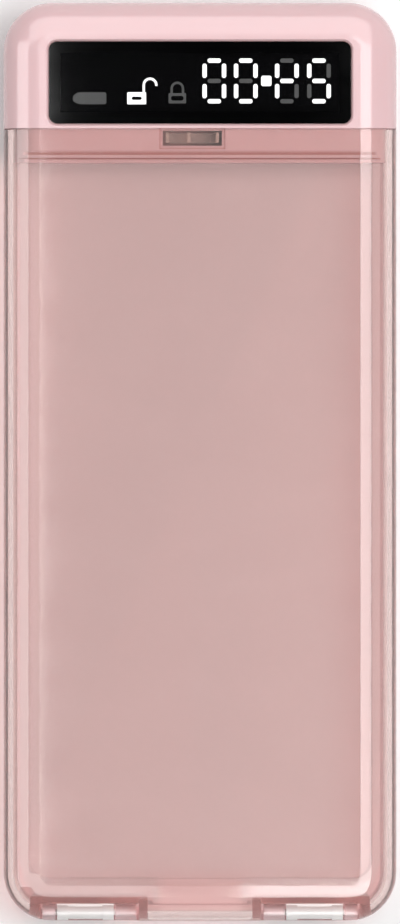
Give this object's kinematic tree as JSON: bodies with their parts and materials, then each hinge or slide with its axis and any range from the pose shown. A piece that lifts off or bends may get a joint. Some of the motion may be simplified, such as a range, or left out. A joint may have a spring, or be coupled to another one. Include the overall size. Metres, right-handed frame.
{
  "type": "timed lock container",
  "caption": "Flat lockable box for one telephone: clear hinged cover, pink tray, head with timer display and motor latch.",
  "frame": {"origin": "middle of the outline seen from the front, on the plane of the flat back that the container lies on", "axes": "+X to the right across the width seen from the front, +Y along the length from the hinge end to the head with the display, +Z out of the front"},
  "size_m": [0.092, 0.215, 0.025],
  "materials": {
    "tray_plastic": "clear pink moulding, polished",
    "cover_plastic": "clear moulding with a faint pink cast, polished",
    "pin_nylon": "natural nylon",
    "head_plastic": "opaque pink, satin gloss",
    "window_black": "smoked acrylic, polished, see-through over lit marks",
    "module_black": "matt black",
    "lit_white": "lit diffuser",
    "unlit_grey": "unlit diffuser",
    "board_green": "solder mask",
    "chip_black": "matt black",
    "screw_steel": "zinc plated",
    "socket_steel": "nickel plated",
    "button_plastic": "opaque pink, satin gloss",
    "bolt_steel": "blanked strip, lightly brushed",
    "rack_plastic": "natural acetal",
    "pinion_brass": "hobbed",
    "chassis_plastic": "natural acetal",
    "motor_steel": "nickel plated can",
    "cell_foil": "aluminium pouch",
    "lead_red": "soft insulation",
    "lead_black": "soft insulation"
  },
  "bodies": {
    "root": {"rear_tray": "tray_plastic", "hinge_pins": "pin_nylon", "head_rear_shell": "head_plastic", "head_front_shell": "head_plastic", "display_window": "window_black", "display_module": "module_black", "lit_segments": "lit_white", "unlit_segments": "unlit_grey", "main_board": "board_green", "board_parts": "chip_black", "board_screws": "screw_steel", "control_board": "board_green", "tact_switches": "chip_black", "usb_c_socket": "socket_steel", "latch_chassis": "chassis_plastic", "chassis_screws": "screw_steel", "motor_gearbox": "pinion_brass", "motor": "motor_steel", "motor_cap": "chip_black", "motor_clamp": "bolt_steel", "battery_cell": "cell_foil", "case_screws": "screw_steel", "neck_screws": "screw_steel", "battery_lead_red": "lead_red", "battery_lead_black": "lead_black", "motor_lead_red": "lead_red", "motor_lead_black": "lead_black", "header_base": "chip_black", "header_pins": "pinion_brass"},
    "cover": {"front_cover": "cover_plastic", "cover_catch": "cover_plastic"},
    "hour_cap": {"hour_button": "button_plastic"},
    "minute_cap": {"minute_button": "button_plastic"},
    "lock_cap": {"lock_button": "button_plastic"},
    "bolt": {"latch_bolt": "bolt_steel", "bolt_rack": "rack_plastic"},
    "pinion": {"drive_pinion": "pinion_brass", "output_shaft": "bolt_steel"}
  },
  "joints": [
    {"name": "cover_hinge", "type": "hinge", "parent": "root", "child": "cover", "pos_m": [0, -0.10545, 0.012], "axis": [1, 0, 0], "range_deg": [0, 100]},
    {"name": "bolt_slide", "type": "slide", "parent": "root", "child": "bolt", "axis": [0, -1, 0], "range_m": [0, 0.005]},
    {"name": "pinion_spin", "type": "hinge", "parent": "root", "child": "pinion", "pos_m": [0, 0.0906, 0.0112], "axis": [1, 0, 0], "range_deg": [0, 81.86]},
    {"name": "hour_press", "type": "slide", "parent": "root", "child": "hour_cap", "axis": [0, -1, 0], "range_m": [0, 0.0006], "stiffness_N_per_m": 1600, "springref_m": -0.0004},
    {"name": "minute_press", "type": "slide", "parent": "root", "child": "minute_cap", "axis": [0, -1, 0], "range_m": [0, 0.0006], "stiffness_N_per_m": 1600, "springref_m": -0.0004},
    {"name": "lock_press", "type": "slide", "parent": "root", "child": "lock_cap", "axis": [0, -1, 0], "range_m": [0, 0.0006], "stiffness_N_per_m": 1600, "springref_m": -0.0004}
  ],
  "couplings": [
    {"joint": "pinion_spin", "follows": "bolt_slide", "rad_per_m": 285.71}
  ]
}
